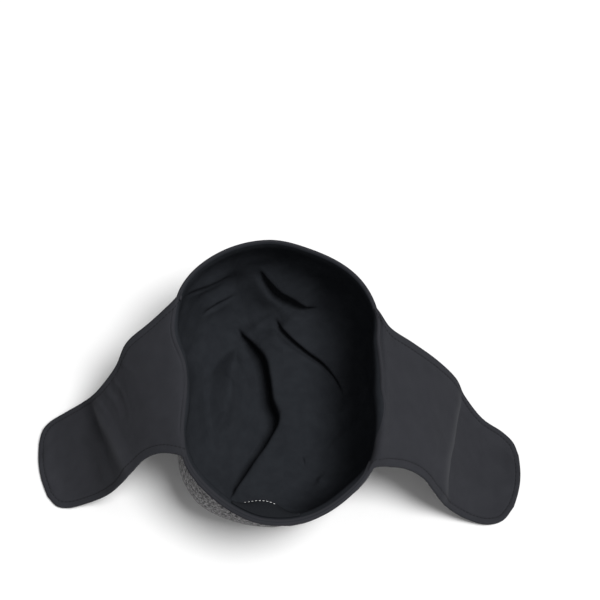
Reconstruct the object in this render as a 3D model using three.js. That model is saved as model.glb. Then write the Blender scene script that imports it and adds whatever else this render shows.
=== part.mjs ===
// Earflap cap, lying on its crown with its opening up and an earflap spread to each side.
// Sizes are in millimetres. X runs from ear to ear, Y from the front hem to the back hem and Z is up.
// The tables below are measured from the crown's lowest point, and the last lines move the cap so that
// the origin is the middle of its footprint on the surface that it lies on.

import * as THREE from "three";

// Cloth layers, and the gap that is left between two pieces
const outerCloth = 1.5;
const liningCloth = 1.2;
const pieceGap = 0.3;
const bothLayers = outerCloth + pieceGap + liningCloth;

// Crown: the flat patch it rests on, the roundness of its wall in section, and the depth of its hem
const restRadius = 30;
const wallRoundness = 2.3;
const hemDepth = 5;
const hemRise = 0.6;
const hemEdge = 1.9;
const hemOverhang = 0.2;
const hemEndGapDegrees = 0.6;

// How far over the crown's edge a flap begins to turn, and its bend at the side edges and in the middle
const flapRise = 0.7;
const edgeBend = 4;
const middleBend = 7;

// Label: a narrow strip that stands off the front hem and droops at its ends
const labelLength = 15;
const labelCloth = 0.8;
const labelStandoff = 0.5;
const labelMiddleDroop = 25;
const labelEndDroop = 65;
const labelStart = 246;
const labelEnd = 276;

// Middle of the cap's footprint, measured from the crown's lowest point
const footprintMiddle = { x: -3.95, y: 5.55 };

// Rim of the crown, a row for each section round it: the angle from +X in degrees, the distance of the rim
// edge from the crown's middle, its height, how far the hem leans out past the neck below it, and how far
// the wall bulges out under that neck.
const rimSections = [
  { angle: 0, radius: 70, height: 86, lip: 0, bulge: 6 },
  { angle: 25, radius: 77, height: 87, lip: 0, bulge: 6 },
  { angle: 40, radius: 90, height: 91, lip: 1, bulge: 4 },
  { angle: 56, radius: 99.5, height: 96, lip: 2, bulge: 3 },
  { angle: 79, radius: 105.2, height: 98, lip: 2, bulge: 4 },
  { angle: 96, radius: 111, height: 98, lip: 2, bulge: 4 },
  { angle: 119, radius: 112.2, height: 98, lip: 2, bulge: 4 },
  { angle: 136, radius: 108.5, height: 94.5, lip: 2, bulge: 4 },
  { angle: 150, radius: 92.5, height: 88, lip: 0, bulge: 6 },
  { angle: 163, radius: 78, height: 87, lip: 0, bulge: 7 },
  { angle: 176, radius: 72, height: 86, lip: 0, bulge: 8 },
  { angle: 191, radius: 73, height: 85, lip: 0, bulge: 9 },
  { angle: 206, radius: 82, height: 83, lip: 0, bulge: 10 },
  { angle: 217, radius: 89.5, height: 82, lip: 3, bulge: 11 },
  { angle: 239, radius: 95.4, height: 81, lip: 4.5, bulge: 10 },
  { angle: 262, radius: 99.4, height: 81, lip: 4.5, bulge: 7 },
  { angle: 280, radius: 96.5, height: 81, lip: 4.5, bulge: 6 },
  { angle: 302, radius: 90, height: 82, lip: 4.5, bulge: 6 },
  { angle: 319, radius: 89, height: 83.5, lip: 2, bulge: 6 },
  { angle: 331, radius: 80, height: 85, lip: 0, bulge: 6 },
  { angle: 346, radius: 73, height: 86, lip: 0, bulge: 6 },
];

// Arcs of the rim, in degrees, each with the number of cloth facets along it. A seam of the crown's outer
// gores lies at each quarter turn, and the flaps and the hems meet at the four angles between.
const rimArcs = [
  { from: 0, to: 39, facets: 6 },
  { from: 39, to: 90, facets: 7 },
  { from: 90, to: 141, facets: 7 },
  { from: 141, to: 180, facets: 6 },
  { from: 180, to: 214, facets: 5 },
  { from: 214, to: 270, facets: 8 },
  { from: 270, to: 319, facets: 7 },
  { from: 319, to: 360, facets: 6 },
];

// Runs down the crown, from 0 at the rim edge by 1 at the neck and 2 at the rest patch to 3 at its middle
const hemRuns = [0, 0.5, 1];
const wallRuns = [1.12, 1.24, 1.36, 1.48, 1.6, 1.72, 1.85, 2];
const restRuns = [2.5, 3];
const liningTopRun = 1;
const foldStartRun = 1.4;
const hemMiddleRun = 0.5;
const facingEndRun = 0.9;
const labelWallRun = 1.1;
const edgeProbeRun = 0.1;
const seamRuns = [facingEndRun, hemMiddleRun, 0];

// Folds in the crown lining: the path of each crease in plan, how high the cloth stands beside it, on its
// left or if negative on its right, how wide that steep face is, and how far the raised cloth reaches.
const liningFolds = [
  { path: [[-33, 71], [-14, 44], [-5, -2], [-38, -64]], raise: 8, face: 9, reach: 34 },
  { path: [[42, 27], [21, 50], [-4, 76]], raise: -6, face: 8, reach: 26 },
  { path: [[21, 78], [-5, 88], [-15, 98]], raise: -4, face: 8, reach: 16 },
  { path: [[-42, 49], [-56, 24], [-57, -8]], raise: 4, face: 10, reach: 20 },
];
const foldFade = 14;

// Flap sections from the rim out to the tip: the edge point on the back side, the edge point on the front
// side, how far the cloth arches up between them, and how far it bows out towards the tip.
const leftFlapSections = [
  { back: [-103, 49, 86], front: [-90, -48, 79], arch: 4, bow: 0 },
  { back: [-119, 38, 76], front: [-102, -50, 70], arch: 3, bow: 0 },
  { back: [-128, 23, 64], front: [-113, -57, 58], arch: 2, bow: 0 },
  { back: [-143, 9, 48], front: [-124, -64, 43], arch: 1, bow: 0 },
  { back: [-157, 6, 26], front: [-138, -68, 21], arch: 0, bow: 0 },
  { back: [-173, 1, 13], front: [-154, -71, 9], arch: 0, bow: 0 },
  { back: [-186, -5, 6], front: [-167, -73, 4], arch: 0, bow: 0 },
  { back: [-191, -11, 4.5], front: [-176, -71.5, 3.4], arch: 0, bow: 1.5 },
  { back: [-193.5, -21, 3.4], front: [-184, -64, 3], arch: 0, bow: 3 },
];
const rightFlapSections = [
  { back: [81, 47, 86], front: [79, -58, 79], arch: 4, bow: 0 },
  { back: [99, 38, 76], front: [92, -58, 70], arch: 3, bow: 0 },
  { back: [118, 28, 64], front: [105, -62, 58], arch: 2, bow: 0 },
  { back: [133, 19, 48], front: [115, -70, 43], arch: 1, bow: 0 },
  { back: [142, 11, 26], front: [127, -77, 21], arch: 0, bow: 0 },
  { back: [157, -4, 13], front: [142, -83, 9], arch: 0, bow: 0 },
  { back: [173, -13, 6], front: [158, -86, 4], arch: 0, bow: 0 },
  { back: [181, -21, 4.5], front: [170, -82.5, 3.4], arch: 0, bow: 1.5 },
  { back: [185, -31, 3.4], front: [179, -72, 3], arch: 0, bow: 3 },
];
const flapRowsPerSection = [1, 1, 1, 1, 2, 1, 1, 1, 2, 2, 1, 1, 1];

const radians = THREE.MathUtils.degToRad;
const lerp = THREE.MathUtils.lerp;
const smoothstep = THREE.MathUtils.smoothstep;

// A column of the rim table at any angle, on a smooth closed curve through its rows
function rimColumn(column, angle) {
  const count = rimSections.length;
  const turn = 360;
  const place = ((angle % turn) + turn) % turn;
  let row = count - 1;
  while (rimSections[row].angle > place) {
    row -= 1;
  }
  const at = (step) => {
    const index = (row + step + count) % count;
    const laps = Math.floor((row + step) / count);
    return { angle: rimSections[index].angle + laps * turn, value: rimSections[index][column] };
  };
  const [before, start, end, after] = [at(-1), at(0), at(1), at(2)];
  const span = end.angle - start.angle;
  const s = (place - start.angle) / span;
  const startSlope = ((end.value - before.value) / (end.angle - before.angle)) * span;
  const endSlope = ((after.value - start.value) / (after.angle - start.angle)) * span;
  const rise = end.value - start.value;
  const cubic = startSlope + endSlope - 2 * rise;
  const square = 3 * rise - 2 * startSlope - endSlope;
  return start.value + s * (startSlope + s * (square + s * cubic));
}

// A point of the crown's outside, at an angle round it and a run down it
function crownPoint(angle, run) {
  const radius = rimColumn("radius", angle);
  const height = rimColumn("height", angle);
  const lip = rimColumn("lip", angle);
  const neckRadius = radius - lip;
  const neckHeight = height - hemDepth;
  let out;
  let up;
  if (run <= 1) {
    out = radius - lip * Math.sin((run * Math.PI) / 2);
    up = height - hemDepth * run;
  } else if (run <= 2) {
    const swing = ((run - 1) * Math.PI) / 2;
    const power = 2 / wallRoundness;
    const fall = Math.pow(Math.sin(swing), power);
    const stay = Math.pow(Math.max(Math.cos(swing), 0), power);
    const bulge = rimColumn("bulge", angle) * Math.sin(Math.PI * fall);
    out = restRadius + (neckRadius - restRadius) * stay + bulge;
    up = neckHeight * (1 - fall);
  } else {
    out = restRadius * (3 - run);
    up = 0;
  }
  const turn = radians(angle);
  return new THREE.Vector3(out * Math.cos(turn), out * Math.sin(turn), up);
}

// The crown's outward direction at a point, square to its surface
function crownOutward(angle, run) {
  if (run > 2) {
    return new THREE.Vector3(0, 0, -1);
  }
  const angleStep = 0.5;
  const runStep = 0.02;
  const above = crownPoint(angle, Math.max(run - runStep, 0));
  const below = crownPoint(angle, run + runStep);
  const along = crownPoint(angle + angleStep, run).sub(crownPoint(angle - angleStep, run));
  return along.cross(above.sub(below)).normalize();
}

// A point inside the crown's outside surface, by a depth square to it
function crownInside(angle, run, depth) {
  return crownPoint(angle, run).addScaledVector(crownOutward(angle, run), -depth);
}

// A point past the rim edge: so far up along the hem, and so deep inside its outside surface
function rimPoint(angle, rise, depth) {
  const edge = crownPoint(angle, 0);
  const upward = edge.clone().sub(crownPoint(angle, edgeProbeRun)).normalize();
  return edge.addScaledVector(crownOutward(angle, 0), -depth).addScaledVector(upward, rise);
}

// How high the lining stands off the crown because of one fold, at a place in plan
function foldRaise(fold, x, y) {
  const here = new THREE.Vector2(x, y);
  let best = { distance: Infinity, side: 1, end: 0 };
  for (let leg = 0; leg + 1 < fold.path.length; leg += 1) {
    const start = new THREE.Vector2(...fold.path[leg]);
    const along = new THREE.Vector2(...fold.path[leg + 1]).sub(start);
    const length = along.length();
    along.divideScalar(length);
    const offset = here.clone().sub(start);
    const reach = offset.dot(along);
    const across = along.cross(offset);
    const past = Math.max(-reach, reach - length, 0);
    const distance = Math.hypot(across, past);
    if (distance < best.distance) {
      const open = (leg === 0 && reach < 0) || (leg + 2 === fold.path.length && reach > length);
      best = { distance, side: Math.sign(across) * Math.sign(fold.raise), end: open ? past : 0 };
    }
  }
  if (best.side < 0) {
    return 0;
  }
  const face = 1 - Math.exp(-Math.pow(best.distance / fold.face, 2));
  const decay = Math.exp(-Math.pow(best.distance / fold.reach, 2));
  const fade = 1 - smoothstep(best.end, 0, foldFade);
  return Math.abs(fold.raise) * face * decay * fade;
}

// A point of the crown lining, at a depth inside the crown's outside surface
function liningPoint(angle, run, depth) {
  const flat = crownInside(angle, run, depth);
  const hold = smoothstep(run, liningTopRun, foldStartRun);
  const raise = liningFolds.reduce((sum, fold) => sum + foldRaise(fold, flat.x, flat.y), 0);
  return flat.addScaledVector(crownOutward(angle, run), -raise * hold);
}

// The curve that a flap follows from the hem's seam, over the rim and out to its tip, at an angle of the rim
function flapCurve(sections, angle, share) {
  const outward = crownOutward(angle, 0);
  const bend = lerp(edgeBend, middleBend, Math.sin(Math.PI * share));
  const points = seamRuns.map((run) => (
    run > 0 ? crownInside(angle, run, bothLayers) : rimPoint(angle, flapRise, bothLayers)
  ));
  for (const swing of [Math.PI / 4, Math.PI / 2]) {
    const turned = rimPoint(angle, flapRise + bend * Math.sin(swing), bothLayers);
    points.push(turned.addScaledVector(outward, bend * (1 - Math.cos(swing))));
  }
  for (const section of sections) {
    const place = new THREE.Vector3(...section.back).lerp(new THREE.Vector3(...section.front), share);
    const across = new THREE.Vector3(...section.front).sub(new THREE.Vector3(...section.back));
    const towardsTip = new THREE.Vector3(across.y, -across.x, 0).normalize();
    towardsTip.multiplyScalar(Math.sign(towardsTip.dot(outward)));
    place.addScaledVector(towardsTip, section.bow * Math.sin(Math.PI * share));
    place.z += section.arch * Math.sin(Math.PI * share);
    points.push(place);
  }
  return new THREE.CatmullRomCurve3(points, false, "centripetal");
}

// Rows over a flap, from the seam to the tip, each row going round the rim: a point of its top and the
// direction of its curve there
function flapRows(sections, angles) {
  const curves = angles.map((angle, index) => flapCurve(sections, angle, index / (angles.length - 1)));
  const steps = [0];
  flapRowsPerSection.forEach((rows, section) => {
    for (let row = 1; row <= rows; row += 1) {
      steps.push((section + row / rows) / flapRowsPerSection.length);
    }
  });
  return steps.map((step) => curves.map((curve) => (
    { point: curve.getPoint(step), slope: curve.getTangent(step) }
  )));
}

// The same rows moved by a depth under the surface, and kept above the floor. The rows at the seam lie
// against the crown's wall, so there the depth is square to that wall.
function underRows(rows, angles, depth, floorHeight) {
  const last = angles.length - 1;
  return rows.map((row, r) => row.map(({ point, slope }, c) => {
    const along = row[Math.min(c + 1, last)].point.clone().sub(row[Math.max(c - 1, 0)].point);
    const outside = r < seamRuns.length
      ? crownOutward(angles[c], seamRuns[r])
      : along.cross(slope).normalize();
    const moved = point.clone().addScaledVector(outside, depth);
    moved.z = Math.max(moved.z, floorHeight);
    return moved;
  }));
}

// A closed solid between two sheets of points with the same rows. A ring closes on itself along each row,
// and a pole brings the last row to one point.
function sheetSolid(front, back, { ring = false, pole = false } = {}) {
  const rows = front.length;
  const columns = front[0].length;
  const positions = [];
  const indices = [];
  const poleRow = pole ? rows - 1 : rows;
  const sheetIndex = [front, back].map((sheet) => sheet.map((row, r) => {
    const numbers = [];
    for (let c = 0; c < columns; c += 1) {
      if (r < poleRow || c === 0) {
        positions.push(row[c].x, row[c].y, row[c].z);
      }
      numbers.push(positions.length / 3 - 1);
    }
    return numbers;
  }));
  const [frontIndex, backIndex] = sheetIndex;
  const addTriangle = (a, b, c) => {
    if (a !== b && b !== c && c !== a) {
      indices.push(a, b, c);
    }
  };
  const addQuad = (a, b, c, d) => {
    addTriangle(a, b, c);
    addTriangle(a, c, d);
  };
  const cells = ring ? columns : columns - 1;
  for (let r = 0; r + 1 < rows; r += 1) {
    for (let c = 0; c < cells; c += 1) {
      const next = (c + 1) % columns;
      addQuad(frontIndex[r][c], frontIndex[r][next], frontIndex[r + 1][next], frontIndex[r + 1][c]);
      addQuad(backIndex[r][c], backIndex[r + 1][c], backIndex[r + 1][next], backIndex[r][next]);
    }
    if (!ring) {
      const last = columns - 1;
      addQuad(backIndex[r][0], frontIndex[r][0], frontIndex[r + 1][0], backIndex[r + 1][0]);
      addQuad(frontIndex[r][last], backIndex[r][last], backIndex[r + 1][last], frontIndex[r + 1][last]);
    }
  }
  for (let c = 0; c < cells; c += 1) {
    const next = (c + 1) % columns;
    addQuad(frontIndex[0][next], frontIndex[0][c], backIndex[0][c], backIndex[0][next]);
    if (!pole) {
      const r = rows - 1;
      addQuad(frontIndex[r][c], frontIndex[r][next], backIndex[r][next], backIndex[r][c]);
    }
  }
  return outwardGeometry(positions, indices);
}

// A geometry whose faces point out, whichever way round its sheets were given
function outwardGeometry(positions, indices) {
  let volume = 0;
  const corner = (index) => new THREE.Vector3().fromArray(positions, index * 3);
  for (let i = 0; i < indices.length; i += 3) {
    const [a, b, c] = [corner(indices[i]), corner(indices[i + 1]), corner(indices[i + 2])];
    volume += a.dot(b.cross(c));
  }
  const geometry = new THREE.BufferGeometry();
  geometry.setAttribute("position", new THREE.Float32BufferAttribute(positions, 3));
  geometry.setIndex(volume < 0 ? indices.reverse() : indices);
  geometry.computeVertexNormals();
  return geometry;
}

// Angles along the arcs of the rim from one arc to another, going on past a full turn
function arcAngles(firstArc, arcCount) {
  const angles = [];
  for (let step = 0; step < arcCount; step += 1) {
    const arc = rimArcs[(firstArc + step) % rimArcs.length];
    const laps = Math.floor((firstArc + step) / rimArcs.length) * 360;
    for (let facet = 0; facet < arc.facets; facet += 1) {
      angles.push(laps + lerp(arc.from, arc.to, facet / arc.facets));
    }
    if (step === arcCount - 1) {
      angles.push(laps + arc.to);
    }
  }
  return angles;
}

// One gore of the crown's outer fabric, a quarter of it, moved off both its seams by half the gap
function crownGore(quarter) {
  const angles = arcAngles(quarter * 2, 2);
  const runs = [...hemRuns, ...wallRuns, ...restRuns];
  const sheets = [0, outerCloth].map((depth) => (
    runs.map((run) => angles.map((angle) => crownInside(angle, run, depth)))
  ));
  const geometry = sheetSolid(sheets[0], sheets[1], { pole: true });
  const middle = radians(quarter * 90 + 45);
  const shift = pieceGap / Math.SQRT2;
  return geometry.translate(shift * Math.cos(middle), shift * Math.sin(middle), 0);
}

// The lining inside the crown, one bag with its folds
function crownLining() {
  const angles = arcAngles(0, rimArcs.length).slice(0, -1);
  const runs = [liningTopRun, ...wallRuns, ...restRuns];
  const sheets = [outerCloth + pieceGap, bothLayers].map((depth) => (
    runs.map((run) => angles.map((angle) => liningPoint(angle, run, depth)))
  ));
  return sheetSolid(sheets[0], sheets[1], { ring: true, pole: true });
}

// The hem between two flaps: over the rim edge and down its inside
function hemBand(firstArc) {
  const angles = arcAngles(firstArc, 2);
  angles[0] += hemEndGapDegrees;
  angles[angles.length - 1] -= hemEndGapDegrees;
  const innerFace = outerCloth + pieceGap;
  const front = [
    angles.map((angle) => rimPoint(angle, hemEdge, -hemOverhang)),
    angles.map((angle) => rimPoint(angle, hemEdge, bothLayers)),
    angles.map((angle) => crownInside(angle, hemMiddleRun, bothLayers)),
    angles.map((angle) => crownInside(angle, facingEndRun, bothLayers)),
  ];
  const back = [
    angles.map((angle) => rimPoint(angle, hemRise, -hemOverhang)),
    angles.map((angle) => rimPoint(angle, hemRise, innerFace)),
    angles.map((angle) => crownInside(angle, hemMiddleRun, innerFace)),
    angles.map((angle) => crownInside(angle, facingEndRun, innerFace)),
  ];
  return sheetSolid(front, back);
}

// The lining and the outer fabric of one flap. The outer starts above the crown's edge, past the seam rows.
// The rows are turned round so that the facets' diagonals run as on the crown's wall beside them.
function flapPieces(sections, firstArc) {
  const angles = arcAngles(firstArc, 2);
  const rows = flapRows(sections, angles);
  const edgeRow = seamRuns.length - 1;
  const liningFoot = underRows(rows, angles, liningCloth, outerCloth + pieceGap);
  const outerTop = underRows(rows, angles, liningCloth + pieceGap, outerCloth);
  const outerFoot = underRows(rows, angles, bothLayers, 0);
  const liningTop = rows.map((row) => row.map(({ point }) => point));
  const turned = (sheet) => sheet.map((row) => [...row].reverse());
  return {
    lining: sheetSolid(turned(liningTop), turned(liningFoot)),
    outer: sheetSolid(turned(outerTop.slice(edgeRow)), turned(outerFoot.slice(edgeRow))),
  };
}

// The blank label, standing off the inside of the front hem
function label() {
  const columns = 8;
  const rows = 3;
  const sheet = (rise) => {
    const points = [];
    for (let r = 0; r <= rows; r += 1) {
      const line = [];
      for (let c = 0; c <= columns; c += 1) {
        const share = c / columns;
        const angle = lerp(labelStart, labelEnd, share);
        const root = crownInside(angle, facingEndRun, bothLayers + labelStandoff);
        const inward = crownOutward(angle, labelWallRun).setZ(0).normalize().negate();
        const droop = radians(lerp(labelEndDroop, labelMiddleDroop, Math.sin(Math.PI * share)));
        const along = inward.clone().multiplyScalar(Math.cos(droop)).setZ(-Math.sin(droop));
        const across = inward.clone().multiplyScalar(Math.sin(droop)).setZ(Math.cos(droop));
        root.addScaledVector(along, (labelLength * r) / rows);
        line.push(root.addScaledVector(across, rise));
      }
      points.push(line);
    }
    return points;
  };
  return sheetSolid(sheet(labelCloth), sheet(0));
}

const greyKnit = new THREE.MeshStandardMaterial({ color: 0x5c5b5e, roughness: 0.95, metalness: 0 });
const blackLining = new THREE.MeshStandardMaterial({ color: 0x1c1e22, roughness: 0.9, metalness: 0 });
const blackFacing = new THREE.MeshStandardMaterial({ color: 0x24262a, roughness: 0.88, metalness: 0 });
const blackSatin = new THREE.MeshStandardMaterial({ color: 0x0c0d0f, roughness: 0.45, metalness: 0 });

const cap = new THREE.Group();

function addPiece(name, geometry, material) {
  const mesh = new THREE.Mesh(geometry, material);
  mesh.name = name;
  cap.add(mesh);
}

["crown_back_right", "crown_back_left", "crown_front_left", "crown_front_right"].forEach((name, quarter) => {
  addPiece(name, crownGore(quarter), greyKnit);
});
addPiece("crown_lining", crownLining(), blackLining);
addPiece("back_band", hemBand(1), blackFacing);
addPiece("front_band", hemBand(5), blackFacing);

const leftFlap = flapPieces(leftFlapSections, 3);
addPiece("left_flap_lining", leftFlap.lining, blackFacing);
addPiece("left_flap_outer", leftFlap.outer, greyKnit);

// The right flap's arcs run on from the front to the back, so its sections are taken the other way round
const rightSectionsFromFront = rightFlapSections.map(({ back, front, arch, bow }) => (
  { back: front, front: back, arch, bow }
));
const rightFlap = flapPieces(rightSectionsFromFront, 7);
addPiece("right_flap_lining", rightFlap.lining, blackFacing);
addPiece("right_flap_outer", rightFlap.outer, greyKnit);
addPiece("blank_label", label(), blackSatin);

cap.position.set(-footprintMiddle.x, -footprintMiddle.y, 0);

export default cap;
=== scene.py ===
# Earflap cap lying on its crown with its opening up and an earflap spread to each side.
from collections import namedtuple

import bpy
import numpy as np
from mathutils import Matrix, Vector, noise
from mathutils.bvhtree import BVHTree


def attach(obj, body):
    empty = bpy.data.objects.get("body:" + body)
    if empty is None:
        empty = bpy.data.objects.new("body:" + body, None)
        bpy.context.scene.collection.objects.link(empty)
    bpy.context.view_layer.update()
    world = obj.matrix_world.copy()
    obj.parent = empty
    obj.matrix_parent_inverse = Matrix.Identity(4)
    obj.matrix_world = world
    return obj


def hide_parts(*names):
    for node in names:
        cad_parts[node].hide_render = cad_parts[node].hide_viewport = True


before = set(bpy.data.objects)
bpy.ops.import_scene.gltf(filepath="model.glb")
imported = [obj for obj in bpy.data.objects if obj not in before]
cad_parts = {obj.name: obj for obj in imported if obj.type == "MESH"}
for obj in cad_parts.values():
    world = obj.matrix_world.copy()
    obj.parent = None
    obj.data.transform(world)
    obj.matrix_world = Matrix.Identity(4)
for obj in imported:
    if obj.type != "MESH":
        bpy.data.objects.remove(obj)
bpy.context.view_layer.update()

# Shapes are drawn in millimetres, measured from the crown's lowest point, with X from ear to ear, Y from the
# front hem to the back hem and Z up. Each piece is turned into metres in the cap's frame as it is made.
MM = 0.001
FOOTPRINT_MIDDLE = np.array([-3.95, 5.55, 0.0])

# Camera: over the front of the cap, looking down at it
CAMERA_PLACE = (16.65 * MM, -298.25 * MM, 1078.8 * MM)
CAMERA_TARGET = (16.65 * MM, 94.35 * MM, 0.0)
CAMERA_LENS = 84
SENSOR_WIDTH = 36

# Cloth layers
OUTER_CLOTH = 1.5
BOTH_LAYERS = 3.0

# Crown: the flat patch it rests on, the roundness of its wall in section, and the depth of its hem
REST_RADIUS = 30.0
WALL_ROUNDNESS = 2.3
HEM_DEPTH = 5.0

# How far over the crown's edge a flap begins to turn, and its bend at the side edges and in the middle
FLAP_RISE = 0.7
EDGE_BEND = 4.0
MIDDLE_BEND = 7.0

# A flap's free edge leaves the rim in a curve: where on the mouth it starts, how far out over the flap it
# runs, the bend of the cloth at its start, and over how many degrees the cloth takes its full bend
FILLET_START = 3.6
FILLET_REACH = 24.0
FILLET_BEND = 1.0
BEND_DEGREES = 10.0

# Angles of the rim where a flap meets a hem
LEFT_FLAP_ARC = (141.0, 214.0)
RIGHT_FLAP_ARC = (319.0, 399.0)

# Rim of the crown: the angle from +X in degrees, the distance of the rim edge from the crown's middle, its
# height, how far the hem leans out past the neck below it, and how far the wall bulges out under that neck
RimSection = namedtuple("RimSection", "angle radius height lip bulge")
RIM_SECTIONS = [
    RimSection(0, 70, 86, 0, 6),
    RimSection(25, 77, 87, 0, 6),
    RimSection(40, 91.5, 91, 0.5, 4),
    RimSection(56, 100.3, 96, 0.5, 3),
    RimSection(79, 106.6, 98, 0.5, 4),
    RimSection(96, 112.6, 98, 0.5, 4),
    RimSection(119, 112.2, 98, 0.5, 4),
    RimSection(136, 107, 94.5, 0.5, 4),
    RimSection(150, 94, 88, 0, 6),
    RimSection(163, 78, 87, 0, 7),
    RimSection(176, 72, 86, 0, 8),
    RimSection(191, 73, 85, 0, 9),
    RimSection(206, 82, 83, 0, 9),
    RimSection(217, 89.5, 82, 3, 12),
    RimSection(228, 92.9, 81.4, 4, 14),
    RimSection(239, 95.4, 81, 4.5, 12.5),
    RimSection(250, 98.4, 81, 4.5, 8.5),
    RimSection(262, 100.9, 81, 4.5, 3),
    RimSection(280, 99.7, 81, 4.5, 1.5),
    RimSection(302, 93.2, 82, 4.5, 2),
    RimSection(319, 88, 83.5, 2, 3),
    RimSection(331, 80, 85, 0, 5),
    RimSection(346, 73, 86, 0, 6),
]

# How many degrees past the end of its arc each flap's edge leaves the rim: before its first angle, after its
# last one
FLAP_CORNERS = {"left": (4.5, 2.0), "right": (3.5, 5.5)}

# Flap sections from the rim out to the tip: the edge point on the back side, the edge point on the front
# side, how far the cloth arches up between them, and how far it bows out towards the tip
FlapSection = namedtuple("FlapSection", "back front arch bow")
LEFT_FLAP = [
    FlapSection((-103, 49, 86), (-90, -48, 79), 4, 0),
    FlapSection((-119, 38, 76), (-102, -50, 70), 3, 0),
    FlapSection((-128, 23, 64), (-113, -57, 58), 2, 0),
    FlapSection((-143, 9, 48), (-124, -64, 43), 1, 0),
    FlapSection((-157, 6, 26), (-138, -68, 21), 0, 0),
    FlapSection((-173, 1, 13), (-154, -71, 9), 0, 0),
    FlapSection((-186, -5, 6), (-167, -73, 4), 0, 0),
    FlapSection((-191, -11, 4.5), (-176, -71.5, 3.4), 0, 1.5),
    FlapSection((-193.5, -21, 3.4), (-184, -64, 3), 0, 3),
]
RIGHT_FLAP = [
    FlapSection((81, 47, 86), (79, -58, 79), 4, 0),
    FlapSection((99, 38, 76), (92, -58, 70), 3, 0),
    FlapSection((118, 28, 64), (105, -62, 58), 2, 0),
    FlapSection((133, 19, 48), (115, -70, 43), 1, 0),
    FlapSection((142, 11, 26), (127, -77, 21), 0, 0),
    FlapSection((157, -4, 13), (142, -83, 9), 0, 0),
    FlapSection((173, -13, 6), (158, -86, 4), 0, 0),
    FlapSection((181, -21, 4.5), (170, -82.5, 3.4), 0, 1.5),
    FlapSection((185, -31, 3.4), (179, -72, 3), 0, 3),
]

Flap = namedtuple("Flap", "sections arc corners")
FLAPS = {
    "left": Flap(LEFT_FLAP, LEFT_FLAP_ARC, FLAP_CORNERS["left"]),
    "right": Flap(RIGHT_FLAP, RIGHT_FLAP_ARC, FLAP_CORNERS["right"]),
}


def smoothstep(value, low, high):
    share = np.clip((value - low) / (high - low), 0.0, 1.0)
    return share * share * (3 - 2 * share)


def unit(vectors):
    return vectors / np.linalg.norm(vectors, axis=-1, keepdims=True)


def smooth_path(points, per_segment):
    """Points of a smooth curve through the given ones, along the second last axis."""
    points = np.asarray(points, float)
    first = 2 * points[..., :1, :] - points[..., 1:2, :]
    last = 2 * points[..., -1:, :] - points[..., -2:-1, :]
    padded = np.concatenate([first, points, last], axis=-2)
    before, start, end, after = (padded[..., i:padded.shape[-2] - 3 + i, :] for i in range(4))

    def knot_gap(a, b):
        return np.sqrt(np.linalg.norm(b - a, axis=-1, keepdims=True)) + 1e-9

    gap_before, gap, gap_after = knot_gap(before, start), knot_gap(start, end), knot_gap(end, after)
    leave = (start - before) / gap_before - (end - before) / (gap_before + gap) + (end - start) / gap
    arrive = (end - start) / gap - (after - start) / (gap + gap_after) + (after - end) / gap_after
    leave, arrive = leave * gap, arrive * gap
    square = 3 * (end - start) - 2 * leave - arrive
    cubic = 2 * (start - end) + leave + arrive
    share = np.linspace(0, 1, per_segment, endpoint=False)
    share = share.reshape((-1,) + (1,) * points.ndim)
    curve = start + share * (leave + share * (square + share * cubic))
    curve = np.moveaxis(curve, 0, -2)
    curve = curve.reshape(points.shape[:-2] + (-1, points.shape[-1]))
    return np.concatenate([curve, points[..., -1:, :]], axis=-2)


# The crown's outside


def round_curve(marks, values, angle):
    """Values at any angles, on a smooth closed curve through the ones given for some angles from 0 up."""
    marks, values = np.array(marks, float), np.array(values, float)
    count = len(values)
    place = np.mod(angle, 360.0)
    row = np.searchsorted(marks, place, side="right") - 1

    def knot(step):
        index = row + step
        return marks[index % count] + 360.0 * (index // count), values[index % count]

    (a_before, before), (a_start, start), (a_end, end), (a_after, after) = (knot(s) for s in (-1, 0, 1, 2))
    span = a_end - a_start
    share = (place - a_start) / span
    start_slope = (end - before) / (a_end - a_before) * span
    end_slope = (after - start) / (a_after - a_start) * span
    rise = end - start
    cubic = start_slope + end_slope - 2 * rise
    square = 3 * rise - 2 * start_slope - end_slope
    return start + share * (start_slope + share * (square + share * cubic))


def rim_column(column, angle):
    """A column of the rim table at any angles."""
    return round_curve([section.angle for section in RIM_SECTIONS],
                       [getattr(section, column) for section in RIM_SECTIONS], angle)


def crown_point(angle, run):
    """Points of the crown's outside, at angles round it and runs down it: 0 at the rim edge, 1 at the neck,
    2 at the edge of the rest patch and 3 at its middle."""
    angle, run = np.broadcast_arrays(np.asarray(angle, float), np.asarray(run, float))
    radius, height = rim_column("radius", angle), rim_column("height", angle)
    lip, bulge = rim_column("lip", angle), rim_column("bulge", angle)
    swing = np.clip(run - 1, 0, 1) * np.pi / 2
    fall = np.sin(swing) ** (2 / WALL_ROUNDNESS)
    stay = np.cos(swing) ** (2 / WALL_ROUNDNESS)
    hem_out = radius - lip * np.sin(np.clip(run, 0, 1) * np.pi / 2)
    wall_out = REST_RADIUS + (radius - lip - REST_RADIUS) * stay + bulge * np.sin(np.pi * fall)
    hem_up = height - HEM_DEPTH * run
    wall_up = (height - HEM_DEPTH) * (1 - fall)
    out = np.select([run <= 1, run <= 2], [hem_out, wall_out], REST_RADIUS * (3 - run))
    up = np.select([run <= 1, run <= 2], [hem_up, wall_up], 0.0)
    turn = np.radians(angle)
    return np.stack([out * np.cos(turn), out * np.sin(turn), up], axis=-1)


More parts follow.
